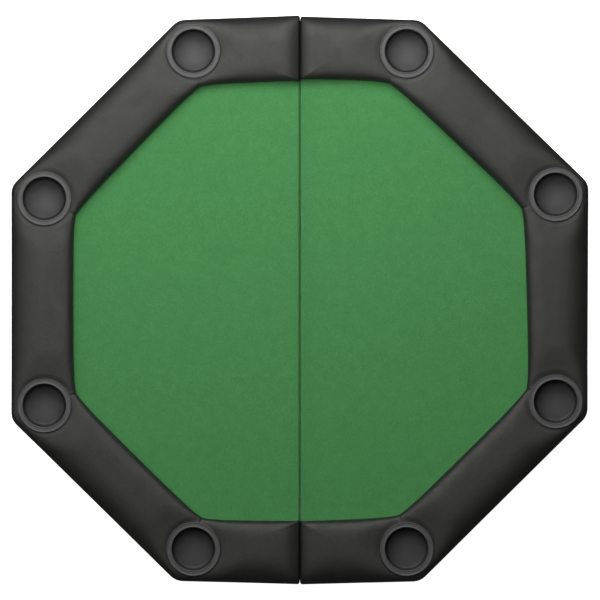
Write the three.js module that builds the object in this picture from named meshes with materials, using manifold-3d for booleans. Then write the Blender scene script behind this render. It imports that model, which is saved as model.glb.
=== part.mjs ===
// A folding octagonal card table top. Two felt-covered halves meet at a split and are joined by three
// butt hinges under it. A padded rail follows the outline, and a cup holder drops into each corner.
// Millimetres, +Z up. The origin is the middle of the footprint, on the surface the feet stand on.
// The split runs along Y, the left half is on the -X side, and the right half folds down under it.
import * as THREE from 'three';
import { mergeVertices } from 'three/addons/utils/BufferGeometryUtils.js';
import Module from 'manifold-3d';

const wasm = await Module();
wasm.setup();

// Outline of a half, seen from above.
const HALF_WIDTH = 540; // split line to the outer edge of the side rail
const END_Y = 531.5; // centre to the outer edge of the end rail, at the split
const CORNER_Y = 528; // the same at the corner of the end rail
const END_RAIL = 223; // split line to that corner
const SIDE_RAIL = 432; // length of the side rail
const SIDE_SHIFT = -3.8; // the side rail sits this far off the middle
const RAIL_WIDTH = 115;
const SPLIT = 0.5; // each half stops this far from the split line

// Heights above the surface that the feet stand on.
const BOARD_BOTTOM = 9.5;
const BOARD_TOP = 21.5;
const FELT_THICK = 2;
const BASE_TOP = 31;
const RAIL_TOP = 48.7;
const CUP_TOP = 51.8;

// Fits and thin stock.
const GAP = 0.3; // left between pieces that touch
const COVER_THICK = 1;
const COVER_TURN = 24; // how far the cover runs in under the board
const FLAP_BOTTOM = 12; // the felt folds down the board's edge to this height
const BOARD_INSET = 5; // the board stops this far inside the outline, so the cover's edge is soft
const BOARD_CUT = { x: 5.5, y: 13 }; // off the board's corners at the split

// Rail section.
const CROWN_POWER = 3; // 2 is an ellipse, more is squarer
const CROWN_STEPS = 14;
const FOAM_OUTER = 8; // foam on the outer side of the base
const FOAM_INNER = 10; // foam on the inner side of the base

// Cup holders: where they are on a half, and their shape.
const END_CUP = { x: 199.7, y: 466.3 };
const SIDE_CUP = { x: 478.8, y: 193.8 };
const RIM_RADIUS = 50.7;
const MOUTH_RADIUS = 40.6;
const FLOOR_RADIUS = 38.4;
const CUP_WALL = 1.8;
const CUP_FLOOR = 2; // thickness
const CUP_FILLET = 3; // between the wall and the floor
const RIM_EDGE = 0.8; // the rim's bevel
const HOLE_RADIUS = 43.2;
const CUP_SIDES = 26;

// Hinges.
const HINGE_Y = [-350, 0, 350];
const AXIS_Z = 4.5;
const KNUCKLE_RADIUS = 4;
const BORE_RADIUS = 2.6;
const PIN_RADIUS = 2.4;
const LEAF_THICK = 1.5;
const LEAF_REACH = 35; // from the pin's axis
const LEAF_START = 4.7; // the plate starts here, clear of the other leaf's knuckles
const HINGE_LENGTH = 60;
const KNUCKLE_GAP = 0.4;
const LEAF_SCREW = { x: 22, y: 18 };
const SINK_RADIUS = 4.2; // the countersink in a leaf
const PIN_HEAD = { radius: 3.6, thick: 1.4 };
const ROUND_SIDES = 16;

// Screws and feet.
const SHANK_RADIUS = 1.7;
const SCREW_SIDES = 8;
const SCREW_TIP = 18; // height of a screw's tip inside the board
const SCREW_TAPER = 2; // length of the tip
const SHANK_HOLE = 2.1;
const SUNK_HEAD = { radius: 3.7, bottom: 7.9, top: 9.4 };
const PAN_HEAD = { radius: 4, crown: 3, bottom: 1.6, top: 3.7 };
const FOOT_RADIUS = 15;
const FOOT_TAPER = 3; // the foot is this much narrower at its sole
const FOOT_RECESS = { radius: 5, depth: 4 };
// On a half. When the top is folded the feet of the two halves pass beside each other.
const FEET = [[-60, 485], [-60, -445], [-330, 355], [-365, -325]];

const plastic = { color: 0x2c2c2b, roughness: 0.45, metalness: 0 };
const finishes = {
  board: { color: 0x9a7b56, roughness: 0.8, metalness: 0 },
  felt: { color: 0x4a8b4e, roughness: 0.95, metalness: 0 },
  base: { color: 0xb08d60, roughness: 0.75, metalness: 0 },
  foam: { color: 0xd8d2c0, roughness: 0.95, metalness: 0 },
  cover: { color: 0x1d1d1c, roughness: 0.5, metalness: 0 },
  cup: plastic,
  steel: { color: 0xb4b6b8, roughness: 0.35, metalness: 1 },
  rubber: { color: 0x1a1a1a, roughness: 0.85, metalness: 0 },
};

function mesh(name, geometry, finish) {
  const made = new THREE.Mesh(geometry, new THREE.MeshStandardMaterial(finishes[finish]));
  made.name = name;
  return made;
}

// Between three.js geometry and solids that can be cut and joined.
function solid(geometry) {
  const bare = geometry.clone();
  bare.deleteAttribute('normal');
  bare.deleteAttribute('uv');
  const merged = mergeVertices(bare, 1e-3);
  return new wasm.Manifold(new wasm.Mesh({
    numProp: 3,
    vertProperties: new Float32Array(merged.attributes.position.array),
    triVerts: new Uint32Array(merged.index.array),
  }));
}

function toGeometry(body) {
  const { vertProperties, triVerts } = body.getMesh();
  const geometry = new THREE.BufferGeometry();
  geometry.setAttribute('position', new THREE.BufferAttribute(vertProperties, 3));
  geometry.setIndex(new THREE.BufferAttribute(triVerts, 1));
  geometry.computeVertexNormals();
  return geometry;
}

// A round piece about Z from a profile of [radius, height] points, bottom first.
function turned(profile, sides) {
  const points = profile.map(([r, z]) => new THREE.Vector2(r, z));
  return new THREE.LatheGeometry(points, sides).rotateX(Math.PI / 2);
}

function box(x0, x1, y0, y1, z0, z1) {
  return new THREE.BoxGeometry(x1 - x0, y1 - y0, z1 - z0)
    .translate((x0 + x1) / 2, (y0 + y1) / 2, (z0 + z1) / 2);
}

function rod(radius, x, y, z0, z1, sides) {
  return new THREE.CylinderGeometry(radius, radius, z1 - z0, sides)
    .rotateX(Math.PI / 2)
    .translate(x, y, (z0 + z1) / 2);
}

// The outline of the left half, from the split at the back round to the split at the front.
const OUTLINE = [
  [0, END_Y],
  [-END_RAIL, CORNER_Y],
  [-HALF_WIDTH, SIDE_RAIL / 2 + SIDE_SHIFT],
  [-HALF_WIDTH, -SIDE_RAIL / 2 + SIDE_SHIFT],
  [-END_RAIL, -CORNER_Y],
  [0, -END_Y],
].map(([x, y]) => new THREE.Vector2(x, y));

// The inward normal of the outline's side between corners i and i + 1.
function inward(i) {
  const along = OUTLINE[i + 1].clone().sub(OUTLINE[i]).normalize();
  return new THREE.Vector2(-along.y, along.x);
}

// The outline's corner i, moved inwards by an inset from both of its sides. The first and last
// corners stay on the line x = endX.
function corner(i, inset, endX) {
  const last = OUTLINE.length - 1;
  if (i === 0 || i === last) {
    const n = inward(i === 0 ? 0 : last - 1);
    return new THREE.Vector2(endX, OUTLINE[i].y + (inset - n.x * endX) / n.y);
  }
  const a = inward(i - 1);
  const b = inward(i);
  return a.clone().add(b).multiplyScalar(inset / (1 + a.dot(b))).add(OUTLINE[i]);
}

// A flat plate inside the outline.
function plate(inset, endX, z0, z1) {
  const points = OUTLINE.map((_, i) => corner(i, inset, endX));
  const settings = { depth: z1 - z0, bevelEnabled: false };
  return new THREE.ExtrudeGeometry(new THREE.Shape(points), settings).translate(0, 0, z0);
}

// A bar that follows the outline with mitred corners. Its section is a list of [inset, height].
function bar(section, endX) {
  const count = section.length;
  const positions = [];
  OUTLINE.forEach((_, i) => {
    section.forEach(([inset, z]) => {
      const p = corner(i, inset, endX);
      positions.push(p.x, p.y, z);
    });
  });
  const faces = [];
  for (let i = 0; i < OUTLINE.length - 1; i += 1) {
    for (let j = 0; j < count; j += 1) {
      const a = i * count + j;
      const b = i * count + ((j + 1) % count);
      faces.push(a, a + count, b, b, a + count, b + count);
    }
  }
  const start = (OUTLINE.length - 1) * count;
  const flat = section.map(([inset, z]) => new THREE.Vector2(inset, z));
  THREE.ShapeUtils.triangulateShape(flat, []).forEach(([a, b, c]) => {
    faces.push(a, c, b, start + a, start + b, start + c);
  });
  const geometry = new THREE.BufferGeometry();
  geometry.setAttribute('position', new THREE.Float32BufferAttribute(positions, 3));
  geometry.setIndex(faces);
  return geometry;
}

// The rail's crown as [inset, height] points from the outer side to the inner one. It lies
// deeper than the cover's outer face by the depth given.
function crown(depth) {
  const half = RAIL_WIDTH / 2;
  const foot = BOARD_TOP + GAP + FELT_THICK + GAP;
  const points = [];
  for (let k = 0; k <= CROWN_STEPS; k += 1) {
    const angle = (Math.PI * k) / CROWN_STEPS;
    const across = Math.sign(Math.cos(angle)) * Math.abs(Math.cos(angle)) ** (2 / CROWN_POWER);
    const up = Math.sin(angle) ** (2 / CROWN_POWER);
    points.push([half - (half - depth) * across, foot + (RAIL_TOP - foot - depth) * up]);
  }
  return points;
}

const cups = [
  [-END_CUP.x, END_CUP.y],
  [-SIDE_CUP.x, SIDE_CUP.y + SIDE_SHIFT],
  [-SIDE_CUP.x, -SIDE_CUP.y + SIDE_SHIFT],
  [-END_CUP.x, -END_CUP.y],
];

function withCupHoles(body) {
  return cups.reduce((left, [x, y]) => (
    left.subtract(solid(rod(HOLE_RADIUS, x, y, BOARD_TOP, CUP_TOP, CUP_SIDES)))
  ), body);
}

// The screws' places on a half.
const hingeScrews = HINGE_Y.flatMap((y) => [-1, 1].map((side) => (
  [-LEAF_SCREW.x, y + side * LEAF_SCREW.y]
)));

function board() {
  const end = -SPLIT - COVER_THICK - GAP;
  let body = solid(plate(BOARD_INSET, end, BOARD_BOTTOM, BOARD_TOP));
  [...hingeScrews, ...FEET].forEach(([x, y]) => {
    const hole = rod(SHANK_HOLE, x, y, BOARD_BOTTOM - 1, SCREW_TIP + GAP, SCREW_SIDES);
    body = body.subtract(solid(hole));
  });
  [-1, 1].forEach((side) => {
    const wedge = new THREE.Shape([
      new THREE.Vector2(1, side * (END_Y + 1)),
      new THREE.Vector2(-BOARD_CUT.x, side * (END_Y + 1)),
      new THREE.Vector2(1, side * (END_Y - BOARD_CUT.y)),
    ]);
    const settings = { depth: BOARD_TOP, bevelEnabled: false };
    body = body.subtract(solid(new THREE.ExtrudeGeometry(wedge, settings).translate(0, 0, 1)));
  });
  return toGeometry(body);
}

const baseInset = { outer: FOAM_OUTER, inner: RAIL_WIDTH - FOAM_INNER };

function felt() {
  const bottom = BOARD_TOP + GAP;
  const sheet = solid(plate(baseInset.inner + GAP, -SPLIT, bottom, bottom + FELT_THICK));
  const end = corner(0, baseInset.inner + GAP, -SPLIT).y;
  const flap = box(-SPLIT - COVER_THICK, -SPLIT, -end, end, FLAP_BOTTOM, bottom + FELT_THICK / 2);
  return toGeometry(sheet.add(solid(flap)));
}

function railBase() {
  const bottom = BOARD_TOP + GAP;
  const { outer, inner } = baseInset;
  const section = [[outer, bottom], [outer, BASE_TOP], [inner, BASE_TOP], [inner, bottom]];
  return toGeometry(withCupHoles(solid(bar(section, -SPLIT - COVER_THICK - GAP))));
}

function railFoam() {
  const inset = COVER_THICK + GAP;
  const top = crown(inset);
  const foot = top[0][1];
  const bottom = BOARD_TOP + GAP;
  const section = [
    [inset, bottom],
    ...top,
    [baseInset.inner + GAP, foot],
    [baseInset.inner + GAP, BASE_TOP + GAP],
    [baseInset.outer - GAP, BASE_TOP + GAP],
    [baseInset.outer - GAP, bottom],
  ];
  return toGeometry(withCupHoles(solid(bar(section, -SPLIT - inset))));
}

// A shell: the rail's full outer shape, less everything it covers. It is open towards the board
// and the felt, closed over the rail's ends at the split, and turns in under the board.
function railCover() {
  const outer = crown(0);
  const inner = crown(COVER_THICK);
  const foot = outer[0][1];
  const under = BOARD_BOTTOM - GAP;
  const turn = COVER_TURN;
  const outside = [[turn, under - COVER_THICK], [0, under - COVER_THICK], ...outer, [turn, foot]];
  const inside = [
    [turn + 1, under],
    [COVER_THICK, under],
    ...inner,
    [RAIL_WIDTH - COVER_THICK, foot - 1],
    [turn + 1, foot - 1],
  ];
  const shell = solid(bar(outside, -SPLIT)).subtract(solid(bar(inside, -SPLIT - COVER_THICK)));
  return toGeometry(withCupHoles(shell));
}

function cup() {
  const bottom = BOARD_TOP + 2 * GAP;
  const floor = bottom + CUP_FLOOR;
  const rimUnder = RAIL_TOP + GAP;
  return turned([
    [0, bottom],
    [FLOOR_RADIUS - CUP_FLOOR, bottom],
    [FLOOR_RADIUS + CUP_WALL, bottom + CUP_FILLET + CUP_WALL / 2],
    [MOUTH_RADIUS + CUP_WALL, rimUnder],
    [RIM_RADIUS, rimUnder],
    [RIM_RADIUS, CUP_TOP - RIM_EDGE],
    [RIM_RADIUS - RIM_EDGE, CUP_TOP],
    [MOUTH_RADIUS, CUP_TOP],
    [FLOOR_RADIUS, floor + CUP_FILLET],
    [FLOOR_RADIUS - CUP_FILLET, floor],
    [0, floor],
  ], CUP_SIDES);
}

// A hinge leaf that reaches to -X from a pin along Y. Its knuckles stand on the stretches given.
function leaf(stretches) {
  const top = BOARD_BOTTOM - GAP;
  const bottom = top - LEAF_THICK;
  const half = HINGE_LENGTH / 2;
  let body = solid(box(-LEAF_REACH, -LEAF_START, -half, half, bottom, top));
  stretches.forEach(([y0, y1]) => {
    body = body.add(solid(box(-LEAF_START - 1, 0, y0, y1, bottom, top)));
    const knuckle = new THREE.CylinderGeometry(KNUCKLE_RADIUS, KNUCKLE_RADIUS, y1 - y0, ROUND_SIDES);
    body = body.add(solid(knuckle.translate(0, (y0 + y1) / 2, AXIS_Z)));
  });
  const bore = new THREE.CylinderGeometry(BORE_RADIUS, BORE_RADIUS, HINGE_LENGTH + 2, ROUND_SIDES);
  body = body.subtract(solid(bore.translate(0, 0, AXIS_Z)));
  [-1, 1].forEach((side) => {
    const sink = turned([
      [0, bottom - 1],
      [SINK_RADIUS, bottom - 1],
      [SINK_RADIUS, SUNK_HEAD.bottom],
      [SHANK_HOLE, top],
      [SHANK_HOLE, top + 1],
      [0, top + 1],
    ], SCREW_SIDES);
    body = body.subtract(solid(sink.translate(-LEAF_SCREW.x, side * LEAF_SCREW.y, 0)));
  });
  return toGeometry(body);
}

function pin() {
  const half = HINGE_LENGTH / 2 + GAP;
  const end = half + PIN_HEAD.thick;
  const profile = [
    [0, -end],
    [PIN_RADIUS, -end],
    [PIN_HEAD.radius, -half],
    [PIN_RADIUS, -half],
    [PIN_RADIUS, half],
    [PIN_HEAD.radius, half],
    [PIN_RADIUS, end],
    [0, end],
  ];
  return turned(profile, ROUND_SIDES).rotateX(Math.PI / 2).translate(0, 0, AXIS_Z);
}

// Screws stand head down, with the tip in the board.
function screw(head) {
  const tip = [[SHANK_RADIUS, SCREW_TIP - SCREW_TAPER], [0, SCREW_TIP]];
  return turned([...head, ...tip], SCREW_SIDES);
}

const sunkScrew = screw([
  [0, SUNK_HEAD.bottom],
  [SUNK_HEAD.radius, SUNK_HEAD.bottom],
  [SHANK_RADIUS, SUNK_HEAD.top],
]);
const panScrew = screw([
  [0, PAN_HEAD.bottom],
  [PAN_HEAD.crown, PAN_HEAD.bottom],
  [PAN_HEAD.radius, PAN_HEAD.top],
  [SHANK_RADIUS, PAN_HEAD.top],
]);

function foot() {
  const top = BOARD_BOTTOM - GAP;
  return turned([
    [FOOT_RECESS.radius, 0],
    [FOOT_RADIUS - FOOT_TAPER, 0],
    [FOOT_RADIUS, top],
    [SHANK_HOLE, top],
    [SHANK_HOLE, FOOT_RECESS.depth],
    [FOOT_RECESS.radius, FOOT_RECESS.depth],
    [FOOT_RECESS.radius, 0],
  ], ROUND_SIDES);
}

// The pieces that both halves share. Numbers run on from the left half to the right one.
const shared = {
  board: board(),
  felt: felt(),
  rail_base: railBase(),
  rail_foam: railFoam(),
  rail_cover: railCover(),
};
const slots = { rail_base: 'base', rail_foam: 'foam', rail_cover: 'cover' };
const cupShape = cup();
const footShape = foot();

function half(side, first) {
  const group = new THREE.Group();
  Object.entries(shared).forEach(([name, geometry]) => {
    group.add(mesh(`${side}_${name}`, geometry, slots[name] || name));
  });
  cups.forEach(([x, y], i) => {
    const made = mesh(`cup_holder_${first + i}`, cupShape, 'cup');
    made.position.set(x, y, 0);
    group.add(made);
  });
  FEET.forEach(([x, y], i) => {
    const pad = mesh(`foot_${first + i}`, footShape, 'rubber');
    const fixing = mesh(`foot_screw_${first + i}`, panScrew, 'steel');
    pad.position.set(x, y, 0);
    fixing.position.set(x, y, 0);
    group.add(pad, fixing);
  });
  return group;
}

// The left leaf has a knuckle at each end of the hinge, and the right leaf has the middle one.
const middle = HINGE_LENGTH / 6;
const start = middle + KNUCKLE_GAP;
const outerKnuckles = leaf([[-HINGE_LENGTH / 2, -start], [start, HINGE_LENGTH / 2]]);
const middleKnuckle = leaf([[-middle, middle]]);
const pinShape = pin();

const left = half('left', 1);
const right = half('right', cups.length + 1);
right.rotation.z = Math.PI;

// Hinge pieces on the left half lie as they are, and those on the right half are turned with it.
HINGE_Y.forEach((y, i) => {
  const name = `hinge_${i + 1}`;
  const parts = [
    [left, mesh(`${name}_left_leaf`, outerKnuckles, 'steel'), y],
    [left, mesh(`${name}_pin`, pinShape, 'steel'), y],
    [right, mesh(`${name}_right_leaf`, middleKnuckle, 'steel'), -y],
  ];
  parts.forEach(([group, piece, at]) => {
    piece.position.y = at;
    group.add(piece);
  });
  [[left, 'left', y], [right, 'right', -y]].forEach(([group, side, at]) => {
    [-1, 1].forEach((step, k) => {
      const fixing = mesh(`${name}_${side}_screw_${k + 1}`, sunkScrew, 'steel');
      fixing.position.set(-LEAF_SCREW.x, at + step * LEAF_SCREW.y, 0);
      group.add(fixing);
    });
  });
});

const table = new THREE.Group();
table.add(left, right);

export default table;
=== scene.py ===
# The looks of a folding octagonal card table top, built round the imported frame.
# Metres, +Z up. The left half is on the -X side of the split, which runs along Y, and the right
# half is the left one turned half a turn about Z, apart from its own small unevenness.
import math
import random

import bmesh
import bpy
import numpy as np
from mathutils import Matrix, Vector, geometry, noise


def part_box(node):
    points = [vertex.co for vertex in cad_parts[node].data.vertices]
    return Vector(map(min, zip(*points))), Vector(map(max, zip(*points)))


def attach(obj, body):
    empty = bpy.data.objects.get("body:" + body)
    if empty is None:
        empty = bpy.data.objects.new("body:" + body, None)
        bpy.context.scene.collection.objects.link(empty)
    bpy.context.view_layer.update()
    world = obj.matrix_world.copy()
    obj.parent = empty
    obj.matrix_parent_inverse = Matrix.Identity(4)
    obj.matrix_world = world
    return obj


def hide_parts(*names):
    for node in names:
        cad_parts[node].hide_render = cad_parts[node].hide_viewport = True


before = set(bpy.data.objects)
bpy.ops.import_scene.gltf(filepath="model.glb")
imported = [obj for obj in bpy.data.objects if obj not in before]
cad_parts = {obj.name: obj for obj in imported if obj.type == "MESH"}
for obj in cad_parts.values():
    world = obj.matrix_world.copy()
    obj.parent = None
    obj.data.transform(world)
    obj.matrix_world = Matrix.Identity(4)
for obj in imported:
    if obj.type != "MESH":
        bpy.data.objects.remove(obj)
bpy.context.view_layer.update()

MM = 0.001
AWAY = 1.0  # further than anything on a rail is from its corners and ends
SQUARE = ((-1, -1), (1, -1), (1, 1), (-1, 1))
WELD = 0.01 * MM
NOISE_SHIFT = (17.3, 5.1, 9.7)  # between one seed's noise and the next's
SEED = {"left": 1, "right": 2}

# From the frame: the outline's corners and the heights of what the soft pieces lie on.
COVER_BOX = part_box("left_rail_cover")
FELT_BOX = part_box("left_felt")
BASE_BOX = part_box("left_rail_base")
CUP_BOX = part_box("cup_holder_1")
SPLIT_X = 0.02 * MM  # the soft ends of the halves press together here
UNDER_Z = COVER_BOX[0][2]
RAIL_TOP = COVER_BOX[1][2]
FELT_TOP = FELT_BOX[1][2]
FOOT_Z = FELT_TOP + 0.3 * MM  # of the padded crown
HIGH_Z = FOOT_Z + 6 * MM  # only the crown reaches above this
RIM_RADIUS = (CUP_BOX[1][0] - CUP_BOX[0][0]) / 2
RIM_TOP = CUP_BOX[1][2]

# Rail section.
RAIL_WIDTH = 115 * MM
TURN_IN = 24 * MM  # how far the cover runs in under the board
COVER_THICK = 1 * MM
SETTLED = 0.1 * MM  # how much lower than the frame's rail the padding is at the cup holders
SWELL = 4 * MM  # how much higher it is away from them
CROWN_POWER = {"outer": 2.2, "inner": 4.0}  # 2 is an ellipse, more is squarer
SQUARER = {"cup": 1.6, "end_outer": 1.0, "end_inner": 4.0}  # added by a cup and the split
EDGE_ROUND = 3 * MM  # the cover's bottom edge

# Rail plan.
STEP = 4 * MM  # between cross-sections, about
END_CROWD = 1.5  # above 1 crowds them towards the split
CORNER_CROWD = 0.08  # above 0 crowds them towards the other corners
CORNER_ROUND = {"outer": 14 * MM, "inner": 2 * MM}
INNER_BOW = {"wide": 5.0 * MM, "length": 30 * MM}  # the rail is wider at its inner corners
# How far each corner of the padding lies off the even octagon, in mm along X and Y, from the
# split round to the split. The right half's are as it lies when turned onto the left one.
OUTER_SHIFT = {
    "left": [(0, 2.1), (-5.4, -2.9), (-0.9, 1.2), (-1.1, -4.7), (-10.5, 1.2), (0, -2.5)],
    "right": [(0, 1.9), (-2.6, -0.2), (1.0, 4.9), (-0.8, 1.1), (-3.1, 3.1), (0, -1.4)],
}
INNER_SHIFT = {
    "left": [(0, -5.5), (-14.2, -9.0), (-0.3, -3.3), (0.3, -5.9), (-9.7, -0.1), (0, 1.2)],
    "right": [(0, -1.4), (-12.4, -5.3), (-5.0, 4.0), (4.2, -1.6), (6.9, 2.2), (0, 1.1)],
}

CROWN_POINTS = 56  # across the crown
FINE_POINTS = 301  # that these are taken from
# At the split the crown falls away in a long slope, and then round a tight edge.
END_FALL = {
    "left": {"drop": 13 * MM, "reach": 42 * MM, "power": 2.3},
    "right": {"drop": 11 * MM, "reach": 30 * MM, "power": 2.3},
}
END_DROP = 12 * MM
END_ROUND = 3.5 * MM
END_TIGHT = 56 * MM  # towards the split the crown gets squarer over this length
END_ROWS = 6
# The rail's outer side draws in at the split.
NOTCH = {"back": 5 * MM, "front": 10 * MM, "reach": 4 * MM}

# Unevenness of the padding and its cover. The stretch marks are longer across the rail than along
# it, the pleat's ridge lies a number of its widths from its valley, and both of these fade in over
# a stretch of the rail's width.
LUMPS = {"height": 0.5 * MM, "size": 80 * MM}
STRETCH = {"height": 0.3 * MM, "size": 16 * MM, "longer": 6, "across": (0.55, 0.95), "seed": 2}
PLEAT = {"width": 1.8 * MM, "valley": 0.8 * MM, "ridge": 0.4 * MM, "ridge_at": 2.4,
         "across": (0.84, 0.99)}
UNEVEN_FADE = 8 * MM  # it grows in over this height above the crown's foot
# A fold that runs out from the inner corner of each end at the split.
PUCKER = {"height": 4.5 * MM, "width": 1.8 * MM, "length": 18 * MM, "start": 5 * MM,
          "left": 20, "right": 31}  # degrees from the inner edge

FOAM_DEPTH = 1.3 * MM  # below the cover's face
FOAM_GAP = 0.3 * MM
FOAM_HOLE = 45 * MM  # radius, round a cup holder
DRILL_SIDES = 64
STAPLE = {"length": 11 * MM, "leg": 1.6 * MM, "bend": 0.5 * MM, "width": 1.0 * MM,
          "height": 0.6 * MM, "inset": 17 * MM, "clear": 14 * MM, "apart": 27 * MM, "seed": 4,
          "crooked": 7}  # degrees at most

# Felt.
FELT_THICK = 1.7 * MM
FELT_FOLD = 1.9 * MM  # radius over the board's edge at the split
FELT_END = {"left": -2.9 * MM, "right": -1.2 * MM}  # the left felt is rolled further back
# The felt is pressed thin where it goes down between the boards.
FELT_TUCK = [(-0.9 * MM, 21.6 * MM), (-0.8 * MM, 20 * MM), (-0.6 * MM, 17 * MM),
             (-0.3 * MM, 14.5 * MM), (0.03 * MM, 13 * MM)]
TUCK_THIN = 0.1  # of its thickness is left there
FELT_STEP = 6 * MM
FELT_COLUMNS = 70
FELT_WAVES = {"height": 0.12 * MM, "size": 70 * MM, "seed": 4}
PILE_TURN = 34 * MM  # the pile of the right half lies differently this near the split

# Cup holders.
CUP_SIDES = 96
CUP = {"mouth_radius": 40.6 * MM, "floor_radius": 38.4 * MM, "wall": 1.8 * MM, "floor": 2 * MM,
       "foot": 1 * MM, "above_rail": 0.3 * MM}
# The rounding where the underside meets the wall, the wall the rim, at the rim's lower edge and
# round the floor.
CUP_ROUND = {"foot": 2.5 * MM, "neck": 0.6 * MM, "edge": 0.4 * MM, "floor": 7 * MM}
ARC_STEPS = 5
# The rim's top has two beads. In mm: how far in from its outer edge a point is and how far below
# its top, and the rounding there, and then the same for the points out from the mouth.
RIM_OUTER = [(0, 0.2, 0.7), (1.2, 0, 0.6), (2.6, 0.7, 1.5)]
RIM_INNER = [(2.8, 0.7, 1.5), (1.2, 0.1, 0.6), (0, 0.6, 0.6)]
# Painted shade in the cup holders: the plastic darkens outwards from the floor's painted lit stretch
# between these distances from it, and darkens below the rim, fully below the first of these heights.
CUP_SHADE = {"from_middle": (8 * MM, 46 * MM), "up_the_wall": (45 * MM, 51 * MM)}
PAINTED_LIGHT_MIDDLE = (2 * MM, -12 * MM, 0)  # the middle of the floor's painted lit stretch, off towards -Y, where light reaches past the wall's shade
HOLE_RADIUS = 45.4 * MM  # in the cover, under the rim
HOLE_SEARCH = 14 * MM  # the cut's ragged edge lies within this of the hole
# The radii and heights of the edge that the cover turns down into the hole.
HOLE_LIP = [(44.4 * MM, 45.9 * MM), (43.9 * MM, 44.0 * MM), (43.8 * MM, 38.0 * MM)]
# The cover is pulled down round each rim, from a little inside its edge.
RIM_GROOVE = {"depth": 2.0 * MM, "inside": 1 * MM, "width": 9 * MM}
DIMPLE = (RIM_RADIUS - 2 * MM, 105 * MM)  # the padding rises from the rim to its full height

# Screws. Each stands head down, and its turn is in radians per metre along X and Y.
SCREW_SIDES = 32
SCREW = {"shank": 1.7 * MM, "tip": 18 * MM, "taper": 2 * MM, "turn": (37, 11),
         "recess": {"arm": 1.9 * MM, "width": 0.9 * MM}}
# The radii and heights of each head's section in mm, and the height of its recess.
SCREW_HEADS = {
    "hinge": ([(0, 7.9), (3.2, 7.9), (3.6, 8.0), (3.7, 8.2), (1.7, 9.4)], 9.0),
    "foot": ([(0, 1.6), (1.6, 1.7), (2.8, 2.1), (3.7, 2.8), (4.0, 3.4), (4.0, 3.7), (1.7, 3.7)],
             2.9),
}

# Studio.
SENSOR = 36
CAMERA_HEIGHT = 16.0
VIEW_WIDTH = 1.1247  # what the picture takes in
VIEW_Z = 32 * MM  # at this height
FAR = 50  # the camera sees nothing past this
FLOOR_REACH = 12
# Each light's name, place, aim, width and length, and power.
LIGHTS = [
    ("overhead", (0, 0, 2.6), (0, 0, 0), (3, 3), 16.0),
    ("key", (-0.1, 0.8, 1.5), (-0.05, 0.4, 0), (2.0, 1.6), 22.0),
    ("back", (-0.1, 1.05, 0.9), (0, 0, 0), (1.8, 0.6), 10.0),
    ("left", (-1.7, 0.2, 1.6), (0, 0, 0), (1.2, 2), 8.5),
]


# ---------------------------------------------------------------- helpers

def smooth(low, high, value):
    """0 below low, 1 above high, and a smooth rise between them."""
    t = np.clip((np.asarray(value, float) - low) / (high - low), 0, 1)
    return t * t * (3 - 2 * t)


def new_object(name, vertices, faces, material):
    mesh = bpy.data.meshes.new(name)
    mesh.from_pydata([tuple(v) for v in vertices], [], [tuple(f) for f in faces])
    mesh.update()
    mesh.materials.append(material)
    mesh.polygons.foreach_set("use_smooth", [True] * len(mesh.polygons))
    made = bpy.data.objects.new(name, mesh)
    bpy.context.scene.collection.objects.link(made)
    return made


def grid_faces(rows, columns):
    """Faces of a grid whose points are numbered row by row."""
    return [
        (r * columns + c, r * columns + c + 1, (r + 1) * columns + c + 1, (r + 1) * columns + c)
        for r in range(rows - 1)
        for c in range(columns - 1)
    ]


def middle(name):
    """Where the middle of a node's box lies in plan."""
    low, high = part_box(name)
    return (low[0] + high[0]) / 2, (low[1] + high[1]) / 2


def noise_field(points, scale, seed):
    """Smooth noise from about -1 to 1 at each point. Scale is the size of its lumps."""
    shift = Vector([seed * step for step in NOISE_SHIFT])
    return np.array([noise.noise(Vector(p) / scale + shift) for p in points])


# ---------------------------------------------------------------- materials

def start_material(name, colour, roughness, **sockets):
    """A Principled material and short ways to add nodes to it."""
    made = bpy.data.materials.new(name)
    made.use_nodes = True
    tree = made.node_tree
    shader = tree.nodes["Principled BSDF"]
    shader.inputs["Base Color"].default_value = (*colour, 1)
    shader.inputs["Roughness"].default_value = roughness
    for socket, value in sockets.items():
        shader.inputs[socket.replace("_", " ")].default_value = value
    place = tree.nodes.new("ShaderNodeTexCoord").outputs["Object"]
    return made, tree, shader, place


def stretched(tree, place, scale):
    node = tree.nodes.new("ShaderNodeMapping")
    node.inputs["Scale"].default_value = scale
    tree.links.new(place, node.inputs["Vector"])
    return node.outputs["Vector"]


def lumps(tree, place, scale, detail=2.0, distortion=0.0):
    node = tree.nodes.new("ShaderNodeTexNoise")
    node.inputs["Scale"].default_value = scale
    node.inputs["Detail"].default_value = detail
    node.inputs["Distortion"].default_value = distortion
    tree.links.new(place, node.inputs["Vector"])
    return node.outputs["Fac"]


def cells(tree, place, scale):
    node = tree.nodes.new("ShaderNodeTexVoronoi")
    node.feature = "SMOOTH_F1"
    node.inputs["Scale"].default_value = scale
    node.inputs["Smoothness"].default_value = 0.6
    tree.links.new(place, node.inputs["Vector"])
    return node.outputs["Distance"]


def waves(tree, place, scale, direction, distortion=2.0):
    node = tree.nodes.new("ShaderNodeTexWave")
    node.bands_direction = direction
    node.inputs["Scale"].default_value = scale
    node.inputs["Distortion"].default_value = distortion
    node.inputs["Detail Scale"].default_value = 2.0
    tree.links.new(place, node.inputs["Vector"])
    return node.outputs["Fac"]


def spread(tree, value, low, high, start=0.3, end=0.7):
    """Maps a texture's start to end onto low to high."""
    node = tree.nodes.new("ShaderNodeMapRange")
    node.inputs["From Min"].default_value = start
    node.inputs["From Max"].default_value = end
    node.inputs["To Min"].default_value = low
    node.inputs["To Max"].default_value = high
    tree.links.new(value, node.inputs["Value"])
    return node.outputs["Result"]


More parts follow.
